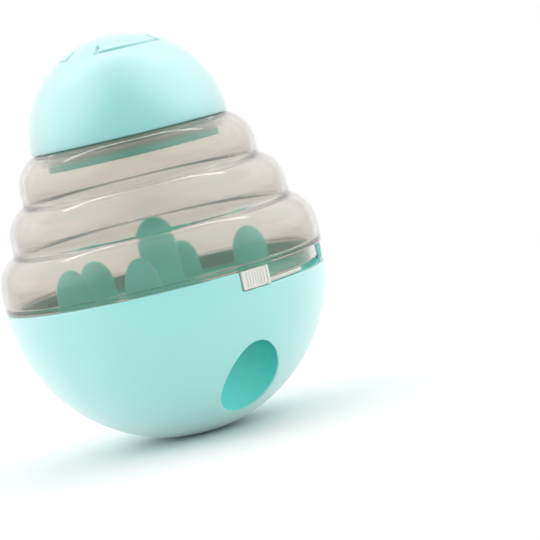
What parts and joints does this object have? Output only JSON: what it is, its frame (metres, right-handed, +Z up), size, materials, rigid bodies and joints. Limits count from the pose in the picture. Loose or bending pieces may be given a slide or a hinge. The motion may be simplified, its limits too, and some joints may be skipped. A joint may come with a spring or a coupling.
{
  "type": "self-righting treat ball",
  "caption": "Roly-poly pet treat ball: weighted round bowl with a drop tube, sliding gate, clear tiered chamber with pegs, and a lift-off domed cap.",
  "frame": {"origin": "middle of the small flat at the bottom of the bowl", "axes": "+Z up the ball's axis, -Y through the outlet and the gate's thumb tab in its shut place"},
  "size_m": [0.1048, 0.1048, 0.1315],
  "materials": {
    "teal_bowl": "satin gloss",
    "teal_floor": "satin gloss",
    "teal_cap": "satin gloss",
    "smoke_clear": "clear, smoke tint",
    "frosted_clear": "frosted clear",
    "weight_steel": "zinc-plated",
    "screw_steel": "zinc-plated",
    "seal_silicone": "matt"
  },
  "bodies": {
    "base": {"base_bowl": "teal_bowl", "counterweight": "weight_steel", "weight_screws": "screw_steel", "floor_plate": "teal_floor", "plate_screw": "screw_steel", "centre_post": "teal_floor"},
    "gate": {"gate_leaf": "frosted_clear", "thumb_tab": "frosted_clear"},
    "shell": {"clear_shell": "smoke_clear"},
    "cap": {"cap_dome": "teal_cap", "cap_plug": "teal_cap", "cap_seal": "seal_silicone"}
  },
  "joints": [
    {"name": "gate_turn", "type": "hinge", "parent": "base", "child": "gate", "pos_m": [0, 0, 0.046], "axis": [0, 0, 1], "range_deg": [0, 33.5]},
    {"name": "shell_twist", "type": "hinge", "parent": "base", "child": "shell", "pos_m": [0, 0, 0.0515], "axis": [0, 0, 1], "range_deg": [0, 20]},
    {"name": "cap_lift", "type": "slide", "parent": "shell", "child": "cap", "axis": [0, 0, 1], "range_m": [0, 0.045]}
  ]
}
